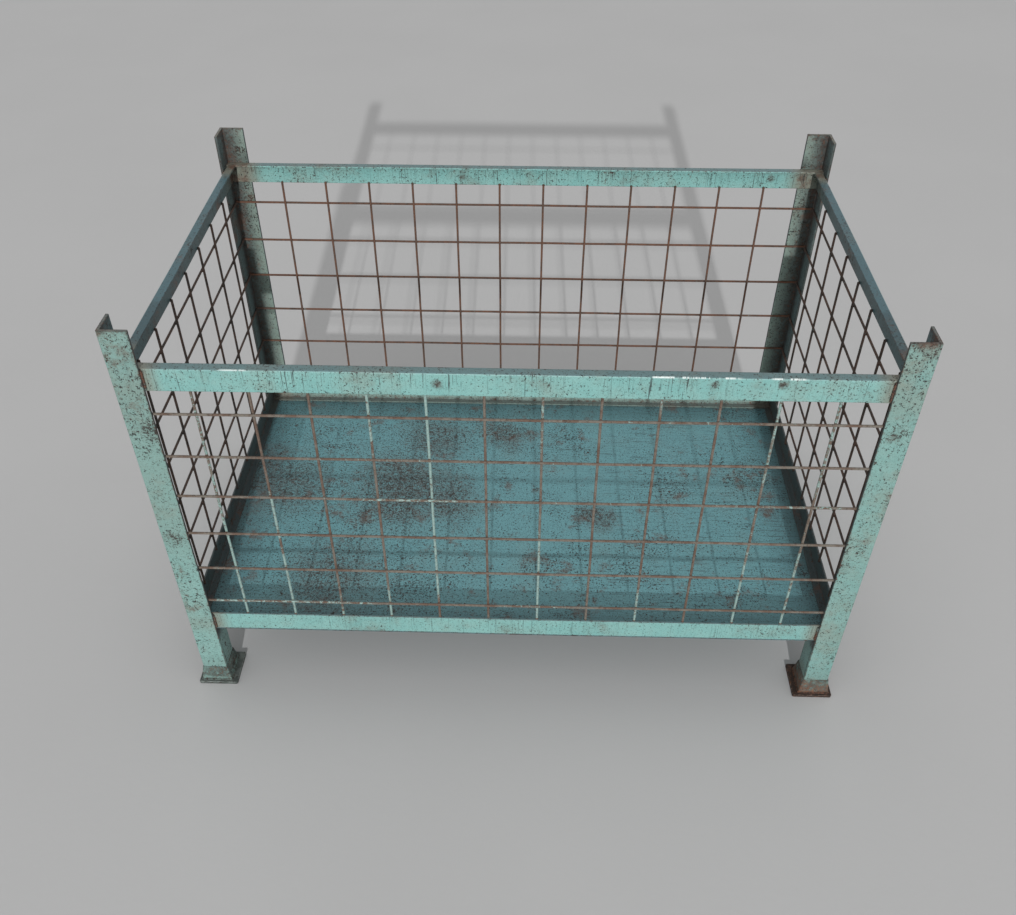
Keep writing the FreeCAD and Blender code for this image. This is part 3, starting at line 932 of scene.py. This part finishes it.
def weldRailEnds(bm, signX, signY, post, look):
    # up the posts' toes, where the rails' faces run in behind them
    low, high = post
    toeX = min(low.x * signX, high.x * signX) * signX
    toeY = min(low.y * signY, high.y * signY) * signY
    longSide = "front" if signY < 0 else "rear"
    shortSide = "left" if signX < 0 else "right"
    for level in ("top", "bottom"):
        railLow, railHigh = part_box(f"{level}_rail_{longSide}")
        faceY = max(railLow.y * signY, railHigh.y * signY) * signY
        base = Vector((toeX, faceY + signY * look["proud"], 0.0))
        rise = (Vector((0, 0, railLow.z + look["endGap"])), Vector((0, 0, railHigh.z - look["endGap"])))
        layBead(bm, base + rise[0], base + rise[1], look["radius"], look)
        railLow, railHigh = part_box(f"{level}_rail_{shortSide}")
        faceX = max(railLow.x * signX, railHigh.x * signX) * signX
        base = Vector((faceX + signX * look["proud"], toeY, 0.0))
        layBead(bm, base + rise[0], base + rise[1], look["radius"], look)


def weldFoot(bm, collar, look):
    # round the flared collar's base
    low, high = collar
    around = ((low.x, low.y), (high.x, low.y), (high.x, high.y), (low.x, high.y))
    around = [Vector((x, y, low.z + look["footLift"])) for x, y in around]
    for start, end in zip(around, around[1:] + around[:1]):
        layBead(bm, start, end, look["footRadius"], look)


for corner, (signX, signY) in corners.items():
    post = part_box(f"post_{corner}")
    bm = bmesh.new()
    weldRailEnds(bm, signX, signY, post, weldLook)
    weldFoot(bm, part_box(f"foot_collar_{corner}"), weldLook)
    putOut(bm, f"welds_{corner}", weldCoat, "post_paint")

stitch = {"length": 0.030, "inset": 0.03, "count": 5, "radius": 0.0028, "sunk": 0.0006}
bm = bmesh.new()
for name in stiffeners:
    low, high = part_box(f"floor_stiffener_{name}")
    for x in (low.x, high.x):
        for index in range(stitch["count"]):
            run = high.y - low.y - 2 * stitch["inset"] - stitch["length"]
            y = low.y + stitch["inset"] + run * index / (stitch["count"] - 1)
            start = Vector((x, y, high.z - stitch["sunk"]))
            layBead(bm, start, start + Vector((0, stitch["length"], 0)), stitch["radius"], weldLook)
putOut(bm, "stiffener_welds", weldCoat, "floor_paint")
print("welds made")


cameraLook = {
    "place": (0.02416, -1.72630, 1.80434),
    "down": 40.873,
    "aside": 1.577,
    "lens": 35.134,
    "sensor": 36.0,
}
camera = bpy.data.objects.new("camera", bpy.data.cameras.new("camera"))
camera.data.sensor_width = cameraLook["sensor"]
camera.data.lens = cameraLook["lens"]
camera.location = cameraLook["place"]
camera.rotation_euler = (math.radians(90.0 - cameraLook["down"]), 0.0, math.radians(cameraLook["aside"]))
bpy.context.scene.collection.objects.link(camera)
bpy.context.scene.camera = camera

lightLook = {"place": (0.68, -43.0, 16.77), "power": 58000.0, "radius": 0.35, "room": 0.605}
key = bpy.data.objects.new("key_light", bpy.data.lights.new("key_light", "POINT"))
key.data.energy = lightLook["power"]
key.data.shadow_soft_size = lightLook["radius"]
key.location = lightLook["place"]
bpy.context.scene.collection.objects.link(key)
room = bpy.data.worlds.new("room")
room.use_nodes = True
room.node_tree.nodes["Background"].inputs["Color"].default_value = tint(1.0, 1.0, 1.0)
room.node_tree.nodes["Background"].inputs["Strength"].default_value = lightLook["room"]
bpy.context.scene.world = room
bpy.context.scene.view_settings.view_transform = "Standard"

groundReach = 40.0
bm = bmesh.new()
bmesh.ops.create_grid(bm, x_segments=4, y_segments=4, size=groundReach)
mesh = bpy.data.meshes.new("ground")
bm.to_mesh(mesh)
bm.free()
mesh.materials.append(stageGround("ground"))
ground = bpy.data.objects.new("ground", mesh)
bpy.context.scene.collection.objects.link(ground)
print("stage, camera and lights set")
